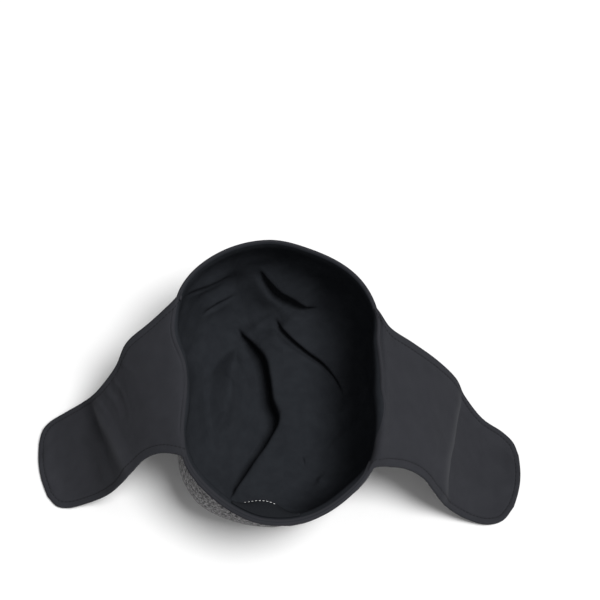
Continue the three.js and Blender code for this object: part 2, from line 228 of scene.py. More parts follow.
def crown_outward(angle, run):
    """The crown's outward directions, square to its surface."""
    angle, run = np.broadcast_arrays(np.asarray(angle, float), np.asarray(run, float))
    angle_step, run_step = 0.5, 0.02
    above = crown_point(angle, np.maximum(run - run_step, 0))
    below = crown_point(angle, np.minimum(run + run_step, 3))
    along = crown_point(angle + angle_step, run) - crown_point(angle - angle_step, run)
    square = np.cross(along, above - below)
    square[run > 2] = (0, 0, -1)
    return unit(square)


def crown_inside(angle, run, depth):
    """Points inside the crown's outside surface, by a depth square to it."""
    depth = np.asarray(depth, float)[..., None]
    return crown_point(angle, run) - crown_outward(angle, run) * depth


def rim_point(angle, rise, depth):
    """Points past the rim edge: so far up along the hem, and so deep inside its outside surface."""
    probe_run = 0.1
    rise, depth = (np.asarray(value, float)[..., None] for value in (rise, depth))
    edge = crown_point(angle, 0.0)
    upward = unit(edge - crown_point(angle, probe_run))
    return edge - crown_outward(angle, 0.0) * depth + upward * rise


def drop_run(angle, drop):
    """The run that lies so many millimetres of height below the rim edge."""
    neck_height = rim_column("height", angle) - HEM_DEPTH
    fall = np.clip((drop - HEM_DEPTH) / neck_height, 0, 1)
    swing = np.arcsin(fall ** (WALL_ROUNDNESS / 2))
    return np.where(drop <= HEM_DEPTH, drop / HEM_DEPTH, 1 + swing * 2 / np.pi)


def hem_point(angle, rise, depth):
    """Points inside the outside surface: over the rim edge by a rise above 0, else down the wall."""
    over = rim_point(angle, np.maximum(rise, 0), depth)
    down = crown_inside(angle, drop_run(angle, np.maximum(-rise, 0)), depth)
    return np.where((rise > 0)[..., None], over, down)


# The mouth: the surface that runs up inside the crown's wall and over its rim. A place on it is a number of
# millimetres from the rim edge, negative down inside the crown and positive over the rim and out.

MOUTH_DEPTHS = (14.0, 9.5, 5.0, 2.5)
CURVE_STEPS = 40


def flap_lines(flap, angle):
    """Dense curves over a flap, from inside the crown's wall over the rim and out to the tip, and how far
    each of their points lies past the rim edge."""
    arc = flap.arc
    share = (angle - arc[0]) / (arc[1] - arc[0])
    outward = crown_outward(angle, 0.0)
    middle = np.sin(np.pi * np.clip(share, 0, 1))[:, None]
    from_corner = np.minimum(angle - arc[0] + flap.corners[0], arc[1] + flap.corners[1] - angle)[:, None]
    edge_bend = FILLET_BEND + (EDGE_BEND - FILLET_BEND) * smoothstep(from_corner, 0, BEND_DEGREES)
    bend = edge_bend + (MIDDLE_BEND - EDGE_BEND) * middle
    points = [crown_inside(angle, drop_run(angle, drop), BOTH_LAYERS) for drop in MOUTH_DEPTHS]
    points.append(rim_point(angle, FLAP_RISE, BOTH_LAYERS))
    for swing in (np.pi / 4, np.pi / 2):
        turned = rim_point(angle, FLAP_RISE + bend[:, 0] * np.sin(swing), BOTH_LAYERS)
        points.append(turned + outward * bend * (1 - np.cos(swing)))
    for section in flap.sections:
        first, last = (np.array(point, float) for point in (section.back, section.front))
        if flap.sections is RIGHT_FLAP:
            first, last = last, first
        across = last - first
        to_tip = unit(np.array([across[1], -across[0], 0.0]))
        to_tip = to_tip * np.sign(outward[len(share) // 2] @ to_tip)
        place = first + across * share[:, None] + to_tip * section.bow * middle
        place[:, 2] += section.arch * middle[:, 0]
        points.append(place)
    lines = smooth_path(np.stack(points, axis=1), CURVE_STEPS)
    travel = line_lengths(lines)
    at_rim = travel[:, len(MOUTH_DEPTHS) * CURVE_STEPS, None]
    return lines, travel - at_rim + FLAP_RISE


def line_lengths(lines):
    """How far each point of each line lies along it."""
    steps = np.linalg.norm(np.diff(lines, axis=1), axis=2)
    return np.concatenate([np.zeros((len(lines), 1)), np.cumsum(steps, axis=1)], axis=1)


def pick(lines, travel, stations):
    """Points of each line at the given lengths along it."""
    picked = np.empty(stations.shape + (lines.shape[-1],))
    for i, line in enumerate(lines):
        for axis in range(lines.shape[-1]):
            picked[i, :, axis] = np.interp(stations[i], travel[i], line[:, axis])
    return picked


def stations_between(start, end, near_steps, far_steps, count):
    """Stations from start to end for each line: at fixed distances near each end and even between them."""
    near = np.array(near_steps)
    far = np.array(far_steps)[::-1]
    even = np.linspace(0, 1, count + 2)[1:-1]
    first, last = (start + near[-1])[:, None], (end - far[0])[:, None]
    return np.concatenate([start[:, None] + near, first + (last - first) * even, end[:, None] - far], axis=1)


# Where the black facing's inner edge runs round the mouth: the angle, and the place there on the mouth
FACING_EDGE = [
    (0, 9), (12, 8), (26, 6), (35, 4), (41, 1.2), (48, 0.6), (90, 0.6), (130, 0.6), (137, 0.8), (145, 4),
    (156, 7), (172, 5), (192, 6), (204, 4.5), (212, 0.5), (220, -0.8), (262, -0.8), (300, -0.8), (312, -0.8),
    (320, -2.5), (328, 1), (336, 7.5), (349, 10.5),
]


def facing_edge(angle):
    marks, places = zip(*FACING_EDGE)
    return round_curve(marks, places, angle)


def sheet_normals(points, ring=False):
    """The direction square to a sheet at each of its points."""
    if ring:
        across = np.roll(points, -1, axis=1) - np.roll(points, 1, axis=1)
    else:
        across = np.gradient(points, axis=1)
    along = np.gradient(points, axis=0)
    square = np.cross(along, across)
    length = np.linalg.norm(square, axis=-1, keepdims=True)
    flat_end = length[-1].max() < 1e-6
    square = square / np.maximum(length, 1e-9)
    if flat_end:
        square[-1] = unit(square[-2].mean(axis=0))
    return square


# Soft swells of the cloth: how wide they are, how high, and the seed that sets one kind apart from another
Swell = namedtuple("Swell", "size height seed")
LINING_SWELLS = (Swell(38, 3.2, 1), Swell(15, 0.9, 2))
FLAP_SWELLS = (Swell(24, 1.4, 3), Swell(9, 0.35, 4))
KNIT_SWELLS = (Swell(30, 1.6, 5), Swell(11, 0.5, 6))
SEED_STEP = 17.3


def swells(points, kinds):
    """How high the swells lift each point, by smooth noise in space that runs from about -0.5 to 0.5."""
    total = np.zeros(points.shape[:-1])
    for kind in kinds:
        shifted = points.reshape(-1, 3) / kind.size + kind.seed * SEED_STEP
        lift = np.array([noise.noise(place) for place in shifted.tolist()])
        total += lift.reshape(total.shape) * kind.height
    return total


def square_gaps(points, path):
    """The square of each point's distance from each place on a path."""
    return (points ** 2).sum(1)[:, None] + (path ** 2).sum(1)[None] - 2 * points @ path.T


# Pieces

materials = {}


def add_piece(name, points, faces, corners, material, replaced=()):
    """A smooth mesh from points in millimetres and its faces, with the cloth place of each face corner."""
    mesh = bpy.data.meshes.new(name)
    mesh.from_pydata(((points - FOOTPRINT_MIDDLE) * MM).tolist(), [], faces)
    layer = mesh.uv_layers.new(name="cloth")
    layer.data.foreach_set("uv", np.asarray(corners, np.float32).ravel())
    mesh.shade_smooth()
    mesh.materials.append(materials[material])
    piece = bpy.data.objects.new(name, mesh)
    bpy.context.scene.collection.objects.link(piece)
    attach(piece, "root")
    if replaced:
        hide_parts(*replaced)
    return piece


def plain_cloth(points):
    """For a sheet's cells, how far across and along the sheet their left and right sides lie."""
    across = line_lengths(points)
    along = line_lengths(points.swapaxes(0, 1)).swapaxes(0, 1)
    flat = np.stack([across - across.mean(axis=1, keepdims=True), along], axis=-1)
    return np.stack([flat[:, :-1], flat[:, 1:]], axis=2)


def gored_cloth(points, angles, ring):
    """The same for cloth cut in four gores, each laid flat about its middle and measured from its tip."""
    closed = np.concatenate([points, points[:, :1]], axis=1) if ring else points
    ends = np.append(angles, angles[0] + 360) if ring else angles
    radius = np.hypot(closed[..., 0], closed[..., 1])
    along = line_lengths(closed.swapaxes(0, 1)).swapaxes(0, 1)
    along = along[-1:] - along
    middle = np.floor((ends[:-1] + ends[1:]) / 180) * 90 + 45
    left = np.radians(ends[:-1] - middle) * radius[:, :-1]
    right = np.radians(ends[1:] - middle) * radius[:, 1:]
    sides = [np.stack([left, along[:, :-1]], -1), np.stack([right, along[:, 1:]], -1)]
    return np.stack(sides, axis=2)


def sheet_piece(name, front, back, cloth, material, replaced=(), ring=False, pole=False):
    """A closed solid between two sheets with the same rows. A ring closes on itself along each row, and a
    pole brings the last row to one point."""
    rows, columns = front.shape[:2]
    cells = columns if ring else columns - 1
    number = np.arange(rows * columns).reshape(rows, columns)
    if pole:
        number[-1] = number[-1, 0]
    kept = rows * columns - (columns - 1 if pole else 0)
    quads, corners = [], []

    def add(first, second, third, fourth, places):
        quads.append(np.stack([first, second, third, fourth], -1).reshape(-1, 4))
        corners.append(np.stack(places, -2).reshape(-1, 4, 2))

    following = (np.arange(cells) + 1) % columns
    here, there = number[:, :cells], number[:, following]
    left, right = cloth[:, :, 0], cloth[:, :, 1]
    for offset, flip in ((0, False), (kept, True)):
        loop = [here[:-1] + offset, here[1:] + offset, there[1:] + offset, there[:-1] + offset]
        places = [left[:-1], left[1:], right[1:], right[:-1]]
        if flip:
            loop, places = loop[::-1], places[::-1]
        add(*loop, places)
    borders = [(here[0], there[0], left[0], right[0])]
    if not pole:
        borders.append((there[-1], here[-1], right[-1], left[-1]))
    if not ring:
        borders.append((number[1:, 0], number[:-1, 0], left[1:, 0], left[:-1, 0]))
        borders.append((number[:-1, -1], number[1:, -1], right[:-1, -1], right[1:, -1]))
    for first, second, first_place, second_place in borders:
        places = [first_place, second_place, second_place, first_place]
        add(first, second, second + kept, first + kept, places)
    quads, corners = np.concatenate(quads), np.concatenate(corners)
    faces, places = [], []
    for quad, corner in zip(quads.tolist(), corners):
        chosen = [i for i in range(4) if quad[i] != quad[i - 1]]
        if len(chosen) > 2:
            faces.append([quad[i] for i in chosen])
            places.append(corner[chosen])
    points = np.concatenate([front.reshape(-1, 3)[:kept], back.reshape(-1, 3)[:kept]])
    return add_piece(name, points, faces, np.concatenate(places), material, replaced)


# Stitches
Stitch = namedtuple("Stitch", "length gap radius")
TOPSTITCH = Stitch(2.6, 0.6, 0.23)
LABEL_STITCH = Stitch(1.3, 1.4, 0.26)
STITCH_POINTS = 7
THREAD_SIDES = 6
STITCH_SINK = 0.2
STITCH_ARCH = 0.26

# The steps of a path that is moved inside a border, and how often it is smoothed
PATH_STEP = 1.0
SMOOTHING_ROUNDS = 12


def surface_tree(surface):
    """A surface's quads, for finding its nearest place."""
    rows, columns = surface.shape[:2]
    number = np.arange(rows * columns).reshape(rows, columns)
    quads = np.stack([number[:-1, :-1], number[1:, :-1], number[1:, 1:], number[:-1, 1:]], -1)
    return BVHTree.FromPolygons(surface.reshape(-1, 3).tolist(), quads.reshape(-1, 4).tolist())


def on_surface(surface, points):
    """The nearest place of a surface to each point, and the surface's direction there."""
    tree = surface_tree(surface)
    found = [tree.find_nearest(point) for point in points.tolist()]
    return np.array([list(hit[0]) for hit in found]), np.array([list(hit[1]) for hit in found])


def even_path(points, step):
    """The same path with its points evenly spaced."""
    length = line_lengths(points[None])[0]
    places = np.linspace(0, length[-1], int(length[-1] / step) + 1)
    return np.stack([np.interp(places, length, column) for column in points.T], axis=-1)


def inset_path(border, surface, inset, inset_halfway):
    """A smooth path inside a surface's border, by one distance at its ends and another one halfway."""
    path = even_path(border, PATH_STEP)
    _, directions = on_surface(surface, path)
    halfway = np.sin(np.linspace(0, np.pi, len(path)))[:, None] ** 2
    inward = unit(np.cross(directions, unit(np.gradient(path, axis=0))))
    path = path + inward * (inset + (inset_halfway - inset) * halfway)
    for _ in range(SMOOTHING_ROUNDS):
        path[1:-1] = (path[:-2] + path[1:-1] * 2 + path[2:]) / 4
    return path


def stitch_faces(stitch):
    """The faces of one stitch and the place on the thread of each corner."""
    faces, corners = [], []
    along = stitch.length / (STITCH_POINTS - 1)
    around = 2 * np.pi * stitch.radius / THREAD_SIDES
    for ring in range(STITCH_POINTS - 1):
        for side in range(THREAD_SIDES):
            following = (side + 1) % THREAD_SIDES
            here, there = ring * THREAD_SIDES, (ring + 1) * THREAD_SIDES
            faces.append([here + side, here + following, there + following, there + side])
            cell = ((0, 0), (0, 1), (1, 1), (1, 0))
            corners += [(along * (ring + i), around * (side + j)) for i, j in cell]
    last = (STITCH_POINTS - 1) * THREAD_SIDES
    faces.append(list(range(THREAD_SIDES))[::-1])
    faces.append(list(range(last, last + THREAD_SIDES)))
    corners += [(0.0, 0.0)] * THREAD_SIDES + [(stitch.length, 0.0)] * THREAD_SIDES
    return np.array(faces, dtype=object), np.array(corners)


def thread_piece(name, rows, material, stitch=TOPSTITCH):
    """Rows of short stitches lying on the cloth, each row a path with the cloth's directions along it."""
    share = np.linspace(0, 1, STITCH_POINTS)
    arch = np.sin(np.pi * share)
    turn = np.arange(THREAD_SIDES) * 2 * np.pi / THREAD_SIDES
    rings = []
    for path, directions in rows:
        length = line_lengths(path[None])[0]
        starts = np.arange(stitch.gap, length[-1] - stitch.length, stitch.length + stitch.gap)
        places = starts[:, None] + share * stitch.length
        table = np.column_stack([path, directions])
        along = np.stack([np.interp(places, length, column) for column in table.T], axis=-1)
        centre, up = along[..., :3], unit(along[..., 3:])
        beside = np.cross(up, unit(np.gradient(centre, axis=1)))
        centre = centre + up * (STITCH_ARCH * arch - STITCH_SINK / 2)[:, None]
        thick = stitch.radius * (0.5 + 0.5 * np.sqrt(arch))[:, None, None]
        round_it = beside[:, :, None] * np.cos(turn)[:, None] + up[:, :, None] * np.sin(turn)[:, None]
        rings.append((centre[:, :, None] + round_it * thick).reshape(len(starts), -1, 3))
    stitches = np.concatenate(rings)
    one_faces, one_corners = stitch_faces(stitch)
    per_stitch = STITCH_POINTS * THREAD_SIDES
    starts = range(0, len(stitches) * per_stitch, per_stitch)
    faces = [[start + i for i in face] for start in starts for face in one_faces]
    corners = np.tile(one_corners, (len(stitches), 1))
    return add_piece(name, stitches.reshape(-1, 3), faces, corners, material)


# Folds of the crown lining. Each has places on its crease, with how high the cloth stands on its left side
# there and how wide the crease gapes. The standing cloth has a face that is wider the higher it stands, by
# the slope. It leans over the crease and falls away again over the reach. On the crease's other side the
# cloth rises by a share of that, over a face and a reach of its own.
Fold = namedtuple("Fold", "slope lean reach share_beside slope_beside reach_beside points")
LINING_FOLDS = {
    "long crease": Fold(0.13, 2.5, 36, 0.4, 0.9, 40, [
        (-42, 72, 17, 0, 5), (-37, 65, 12, 9, 7), (-29, 56, 8, 15, 7), (-21, 44, 4, 20, 7.5),
        (-17, 26, 3, 22, 8), (-14, 8, 3, 22, 7), (-9, -6, 3, 20, 6.5), (-15, -19, 3, 17, 7),
        (-28, -40, 4, 14, 6.5), (-39, -62, 15, 11, 5), (-43, -73, 26, 0, 2),
    ]),
    "right crease": Fold(0.2, 2, 26, 0.7, 0.2, 16, [
        (-10, 81, 16, 0, 3), (-2, 71, 13, 10, 6), (8, 61, 9, 10, 4), (20, 51, 7, 9, 2),
        (32, 42, 7, 8, 1.5), (42, 29, 8, 5, 1), (51, 12, 9, 0, 1),
    ]),
    "far crease": Fold(0.2, 2, 24, 0.6, 0.3, 18, [
        (-23, 107, 56, 0, 3), (-14, 101, 45, 9, 6), (-5, 95, 36, 13, 9), (6, 90, 31, 13, 10),
        (17, 85, 28, 10, 8), (30, 81, 28, 0, 3),
    ]),
    "left hollow": Fold(0.75, 0, 24, 0.3, 1.4, 18, [
        (-37, 60, 11, 0, 4), (-50, 52, 11, 9, 5), (-60, 38, 15, 16, 6), (-64, 20, 20, 17, 6),
        (-63, 2, 19, 13, 6), (-57, -22, 14, 0, 4),
    ]),
    "right pillow": Fold(1.6, 0, 22, 0.8, 1.6, 20, [
        (30, -30, 5, 0, 0), (42, -16, 8, 5, 0), (56, -4, 22, 6, 0), (64, 8, 40, 0, 0),
    ]),
    "high left wrinkle": Fold(0.5, 0, 12, 0.5, 0.5, 7, [
        (-77, 70, 84, 0, 0), (-65, 86, 68, 5, 1), (-54, 93, 60, 5, 2), (-40, 99, 55, 0, 1),
    ]),
    "low left wrinkle": Fold(0.4, 0, 10, 0.5, 0.4, 7, [
        (-66, 72, 38, 0, 0), (-59, 79, 38, 6, 1.5), (-44, 88, 37, 4, 0.5), (-34, 93, 37, 0, 0),
    ]),
    "near tick": Fold(0.3, 0, 7, 0.5, 0.3, 4, [
        (14, -34, 3, 0, 0), (16, -40, 4, 4, 0.5), (18, -46, 5, 0, 0),
    ]),
    "near right tick": Fold(0.3, 0, 7, 0.5, 0.3, 4, [
        (25, -56, 10, 0, 0), (30, -59, 12, 5, 1.5), (35, -60, 15, 0, 0),
    ]),
}
LEAST_FACE = 1.2
FACE_SHARPNESS = 5
FOLD_POINTS = 24

# Over how much path a fold's sizes blend, over how much of each end it fades, from which rise on it leans in
# full, and how many faces wide the leaning part is
FOLD_BLEND = 9.0
FOLD_END = 12.0
LEANING_RISE = 8.0
LEANING_FACES = 1.8


def beside_path(path, points, normals):
    """For each point, the number of the nearest place on a path, how far it lies to the left of the path
    there, and the direction of that left side."""
    flat, square = points.reshape(-1, 3), normals.reshape(-1, 3)
    nearest = square_gaps(flat, path).argmin(axis=1)
    tangent = unit(np.gradient(path, axis=0))[nearest]
    offset = flat - path[nearest]
    offset = offset - tangent * (offset * tangent).sum(1)[:, None]
    left = unit(np.cross(square, tangent))
    side = np.sign((offset * left).sum(1)) * np.linalg.norm(offset, axis=1)
    shape = points.shape[:-1]
    return nearest.reshape(shape), side.reshape(shape), left.reshape(points.shape)


def blended(path, points, values):
    """Values of a path's places at each point, blended over the places that lie about nearest to it."""
    gap = square_gaps(points.reshape(-1, 3), path)
    weight = np.exp((gap.min(axis=1, keepdims=True) - gap) / FOLD_BLEND ** 2)
    return (weight @ values / weight.sum(axis=1, keepdims=True)).reshape(points.shape[:-1] + (-1,))


def steep_face(distance, width):
    """From 0 at a crease to 1 at the top of its face."""
    share = distance / width
    return share / (1 + share ** FACE_SHARPNESS) ** (1 / FACE_SHARPNESS)


def fold_moves(fold, points, normals):
    """How one fold moves each point of the lining."""
    path = smooth_path(np.array(fold.points, float), FOLD_POINTS)
    nearest, side, left = beside_path(path[:, :3], points, normals)
    rise, gape = np.moveaxis(blended(path[:, :3], points, path[:, 3:]), -1, 0)
    length = line_lengths(path[None, :, :3])[0]
    from_end = np.minimum(length, length[-1] - length)
    rise = rise * smoothstep(from_end, 0, min(FOLD_END, length[-1] / 2))[nearest]
    face = LEAST_FACE + fold.slope * rise
    face_beside = LEAST_FACE + fold.slope_beside * rise
    beyond, beside = np.maximum(side - gape / 2, 0), np.maximum(-side - gape / 2, 0)
    steep = steep_face(beyond, face)
    height = steep * np.exp(-(beyond / fold.reach) ** 2)
    fading = np.exp(-(beside / fold.reach_beside) ** 2)
    height += fold.share_beside * steep_face(beside, face_beside) * fading
    lean = fold.lean * np.clip(rise / LEANING_RISE, 0, 1) * steep
    lean = lean * np.exp(-(beyond / (LEANING_FACES * face)) ** 2)
    return normals * (rise * height)[..., None] - left * lean[..., None]


# The lining's cloth, how far it runs on under the facing's edge and the highest place of its own edge, and
# how far it is lifted where it swells, between two of its rows
LINING_CLOTH = 1.2
LINING_TUCK = 1.5
LINING_TOP = 1.2
LINING_LIFT = 1.2
LINING_SWELL_ROWS = (12, 26)
LINING_COLUMNS = 360
LINING_MOUTH_ROWS = 14
LINING_WALL_ROWS = 85
LINING_REST_ROWS = 30


def lining_base():
    """The lining without its folds: rows from under the facing's edge down to the middle of the crown."""
    angles = np.arange(LINING_COLUMNS) * 360 / LINING_COLUMNS
    lowest = MOUTH_DEPTHS[0]
    share = np.linspace(0, 1, LINING_MOUTH_ROWS)
    top = np.minimum(facing_edge(angles) + LINING_TUCK, LINING_TOP)[:, None]
    upper = hem_point(angles[:, None], top + (-lowest - top) * share, BOTH_LAYERS)
    for flap in FLAPS.values():
        turned = np.where(angles < flap.arc[1] - 360, angles + 360, angles)
        inside = (turned > flap.arc[0] - flap.corners[0]) & (turned < flap.arc[1] + flap.corners[1])
        top = (facing_edge(angles[inside]) + LINING_TUCK)[:, None]
        lines, travel = flap_lines(flap, turned[inside])
        upper[inside] = pick(lines, travel, top + (-lowest - top) * share)
    start = drop_run(angles, lowest)[:, None]
    wall = start + (2 - start) * np.linspace(0, 1, LINING_WALL_ROWS + 1)[1:]
    rest = np.broadcast_to(np.linspace(2, 3, LINING_REST_ROWS + 1)[1:], (LINING_COLUMNS, LINING_REST_ROWS))
    lower = crown_inside(angles[:, None], np.concatenate([wall, rest], axis=1), BOTH_LAYERS)
    return angles, np.concatenate([upper, lower], axis=1).swapaxes(0, 1)


def crown_lining():
    angles, base = lining_base()
    normals = -sheet_normals(base, ring=True)
    front = base.copy()
    for fold in LINING_FOLDS.values():
        front += fold_moves(fold, base, normals)
    front[-1] = front[-2].mean(axis=0)
    hold = smoothstep(np.arange(len(base)), *LINING_SWELL_ROWS)[:, None]
    front += normals * ((swells(base, LINING_SWELLS) + LINING_LIFT) * hold)[..., None]
    back = front - normals * LINING_CLOTH
    cloth = gored_cloth(front, angles, ring=True)
    sheet_piece("crown_lining_bag", front, back, cloth, "black_lining", ["crown_lining"],
                ring=True, pole=True)


# The hems: black facing turned over the rim edge between the flaps. The points of its section are given by
# the rise over the rim edge, negative down inside the crown, and the depth inside the outside surface.
HEM_SECTION = [
    (-3.2, -0.3), (-2.6, -0.65), (-1.4, -0.7), (0.2, -0.6), (1.2, -0.1), (1.85, 0.7), (1.8, 1.7), (1.2, 2.4),
]
HEM_FOOT = [(0.4, 0.5), (0.8, 0.9), (1.0, 1.0), (1.2, 0.3)]
HEM_CURVE_STEPS = 5
HEM_COLUMNS = 170
FACING_CLOTH = 1.2

# How far each hem runs on under the flaps at its ends
HEM_TUCK_DEGREES = 4.0

# The flaps that each hem runs between, how deep inside the outside surface its foot lies, and its solid
Hem = namedtuple("Hem", "before after foot_depth replaced")
HEMS = {
    "back_hem": Hem("right", "left", 2.9, "back_band"),
    "front_hem": Hem("left", "right", 3.5, "front_band"),
}


def hem_piece(name):
    hem = HEMS[name]
    before, after = FLAPS[hem.before], FLAPS[hem.after]
    first = np.mod(before.arc[1] + before.corners[1], 360) - HEM_TUCK_DEGREES
    last = after.arc[0] - after.corners[0] + HEM_TUCK_DEGREES
    angles = np.linspace(first, last, HEM_COLUMNS)
    section = np.array(HEM_SECTION, float)
    last_rise, last_depth = section[-1]
    fall = facing_edge(angles) - last_rise
    rows = [np.broadcast_to(point[:, None], (2, HEM_COLUMNS)) for point in section]
    for share, deeper in HEM_FOOT:
        depth = np.full(HEM_COLUMNS, last_depth + (hem.foot_depth - last_depth) * deeper)
        rows.append(np.stack([last_rise + fall * share, depth]))
    controls = np.stack(rows).transpose(2, 0, 1)
    curve = smooth_path(controls, HEM_CURVE_STEPS).transpose(1, 2, 0)
    front = hem_point(angles, curve[:, 0], curve[:, 1])
    back = front + sheet_normals(front) * FACING_CLOTH
    sheet_piece(name, front, back, plain_cloth(front), "black_facing", [hem.replaced])


# The flaps' facing and knit, drawn from one upper surface with its free edge rolled over
EDGE_STEPS = [0, 0.15, 0.4, 0.8, 1.3, 1.9, 2.7, 3.6, 4.4, 5.0, 5.4, 5.8, 6.2, 6.7, 7.5, 8.8, 10.4, 12.0]
INNER_STEPS = [0, 0.3, 0.7, 1.2, 1.8, 2.4, 2.9, 3.3, 3.7, 4.2, 4.8, 5.6, 6.5, 8.0]
EDGE_ROLL = 1.4
FLAP_THICKNESS = 3.0

# How many lines a flap's surface is drawn from, and the rows and columns of its facing and its knit
FLAP_LINES = 181
FACING_GRID = (106, 60)
KNIT_GRID = (70, 40)

# Where a flap hangs free of the rim and its edge is rolled, and where its swells and creases come in, each
# from the first place to the one where they have their full size
LOOSE_FROM_RIM = (2, 8)
SWELL_FROM_EDGE = (3, 16)
SWELL_FROM_RIM = (6, 30)
CREASE_FROM_EDGE = (0, 7)

# The gap between a flap's facing and knit, and the lowest heights of the facing's back and the knit's faces
LAYER_GAP = 0.05
FACING_LOWEST = 1.4
KNIT_TOP_LOWEST = 1.3
KNIT_LOWEST = 0.05

# Topstitching inside the free edge, and the groove it pulls in
STITCH_INSET = 6.2
TIP_STITCH_INSET = 4.0
STITCH_GROOVE = 0.55
GROOVE_WIDTH = 0.7

# The welt along part of a facing's inner edge and the groove beyond it: its place, its width and its depth,
# and the shares of the way round the flap between which the welt stands up
WELT_PLACE = 1.5
WELT_WIDTH = 1.1
WELT_HEIGHT = 0.45
WELT_FADE = 0.08
WeltGroove = namedtuple("WeltGroove", "place width depth first last")
WELT_GROOVES = {"left": WeltGroove(3.3, 0.5, 0.6, 0.22, 0.75), "right": WeltGroove(4.9, 1.6, 2.2, 0.5, 0.85)}

# Creases across a flap. Each has its width on the outer and on the inner side, how strong the highlight
# painted along its ridge is, and points given by the share of the way round the flap's arc, the place past
# the rim edge and the crease's height there.
FlapCrease = namedtuple("FlapCrease", "outer inner worn points")
FLAP_CREASES = {
    "left": [
        FlapCrease(14, 12, 0.3, [
            (0.03, 106, 0), (0.15, 103, 2.8), (0.57, 87, 3.8), (0.9, 66, 3.2), (1, 62, 0),
        ]),
        FlapCrease(15, 15, 0, [
            (0.02, 122, 0), (0.1, 120, -2.6), (0.56, 105, -3.6), (0.84, 91, -3), (1, 85, 0),
        ]),
        FlapCrease(2.2, 3, 0, [
            (0.06, 77, 0), (0.12, 75, 0.8), (0.3, 69, 0.8), (0.5, 64, 0.5), (0.65, 60, 0),
        ]),
        FlapCrease(2.2, 3, 0, [(0.06, 62, 0), (0.1, 61, 0.7), (0.2, 54, 0.6), (0.36, 46, 0)]),
        FlapCrease(2.5, 3, 0, [(0.03, 105, 0), (0.08, 102, 0.9), (0.25, 93, 0.8), (0.45, 85, 0)]),
        FlapCrease(2.2, 3, 0, [(0.05, 90, 0), (0.12, 87, 0.8), (0.3, 80, 0.7), (0.52, 73, 0)]),
        FlapCrease(2, 2.5, 0, [(0.06, 83, 0), (0.12, 81, -0.6), (0.25, 76, -0.5), (0.38, 71, 0)]),
    ],
    "right": [
        FlapCrease(5, 16, 1, [
            (0, 92, 0), (0.08, 92, 2), (0.22, 89.5, 3), (0.39, 92.7, 3.2), (0.54, 96.4, 3),
            (0.83, 101.6, 2.6), (1, 105, 0),
        ]),
        FlapCrease(12, 4, 0, [
            (0.02, 100, 0), (0.2, 98, -1.3), (0.39, 101, -1.6), (0.55, 105, -1.6), (0.85, 111, -1),
            (1, 115, 0),
        ]),
    ],
}
CREASE_ROUNDNESS = 0.6
CREASE_POINTS = 16

# On which side of its creases a flap's tip lies: to their right
CREASE_OUTER_SIDE = -1

# Highlight painted as paler colour along a ridge: its width and the rise of the ridge at which it is palest
HIGHLIGHT_WIDTH = 4.6
HIGHLIGHT_RISE = 3.0


def flap_grid(side, start, near_steps, rows, columns):
    """A flap's upper surface between a place at the mouth and the tip, and each point's place there. Near
    the rim the sheet runs on along the hem, so that its free edge leaves the rim in a smooth curve."""
    flap = FLAPS[side]
    angle = np.linspace(flap.arc[0] - flap.corners[0], flap.arc[1] + flap.corners[1], FLAP_LINES)
    lines, travel = flap_lines(flap, angle)
    places = stations_between(start(angle), travel[:, -1], near_steps, EDGE_STEPS, rows)
    picked = pick(lines, travel, places).swapaxes(0, 1)
    widths = line_lengths(picked)
    ends = []
    for corner, past, outward in ((flap.arc[0], flap.corners[0], -1), (flap.arc[1], flap.corners[1], 1)):
        corner_places = places[np.abs(angle - corner - outward * past).argmin()]
        opened = np.clip((corner_places - FILLET_START) / FILLET_REACH, 0, 1)
        web = past * (1 - np.sqrt(opened)) ** 2
        edge = corner + outward * web
        ends.append(np.array([np.interp(turn, angle, width) for turn, width in zip(edge, widths)]))
    stations = stations_between(*ends, EDGE_STEPS, EDGE_STEPS, columns)
    grid = pick(picked, widths, stations)
    row_places = pick(places.swapaxes(0, 1)[..., None], widths, stations)[..., 0]
    return grid, row_places


def free_edge(grid, places):
    """The flap's free edge, from the rim out round the tip and back."""
    free = places > FILLET_START
    return np.concatenate([grid[free[:, 0], 0], grid[-1, 1:-1], grid[free[:, -1], -1][::-1]])


# The most that a place on the free edge may lie beside the nearest one found on it
EDGE_STEP = 1.0


def edge_distance(grid, places):
    """How far each point lies from the flap's free edge."""
    dense = smooth_path(free_edge(grid, places)[::2], 4)
    flat = grid.reshape(-1, 3)
    nearest = square_gaps(flat, dense).argmin(axis=1)
    tangent = unit(np.gradient(dense, axis=0))[nearest]
    offset = flat - dense[nearest]
    along = (offset * tangent).sum(1)
    offset = offset - tangent * np.clip(along, -EDGE_STEP, EDGE_STEP)[:, None]
    return np.linalg.norm(offset, axis=1).reshape(grid.shape[:-1])


def flap_creases(side, points, normals):
    """How high the flap's creases lift each of its points, and how strongly a highlight is painted there
    along the ridges, from 0 to 1.
    """
    flap = FLAPS[side]
    heights = np.zeros(points.shape[:-1])
    worn = np.zeros(points.shape[:-1])
    for crease in FLAP_CREASES[side]:
        share, place, rise = np.array(crease.points, float).T
        lines, travel = flap_lines(flap, flap.arc[0] + (flap.arc[1] - flap.arc[0]) * share)
        marked = pick(lines, travel, place[:, None])[:, 0]
        path = smooth_path(np.column_stack([marked, rise]), CREASE_POINTS)
        nearest, beside, _ = beside_path(path[:, :3], points, normals)
        width = np.where(beside * CREASE_OUTER_SIDE > 0, crease.outer, crease.inner)
        away = np.sqrt(beside ** 2 + CREASE_ROUNDNESS ** 2) - CREASE_ROUNDNESS
        heights += path[nearest, 3] * (1 - smoothstep(away / width, -0.5, 1) ** 1.5)
        # Painted highlight: paler colour along the ridge of a rising crease, strongest where it rises most
        highlight_strength = crease.worn * np.clip(path[nearest, 3] / HIGHLIGHT_RISE, 0, 1)
        worn += highlight_strength * np.exp(-(beside / HIGHLIGHT_WIDTH) ** 2)
    return heights, np.clip(worn, 0, 1)


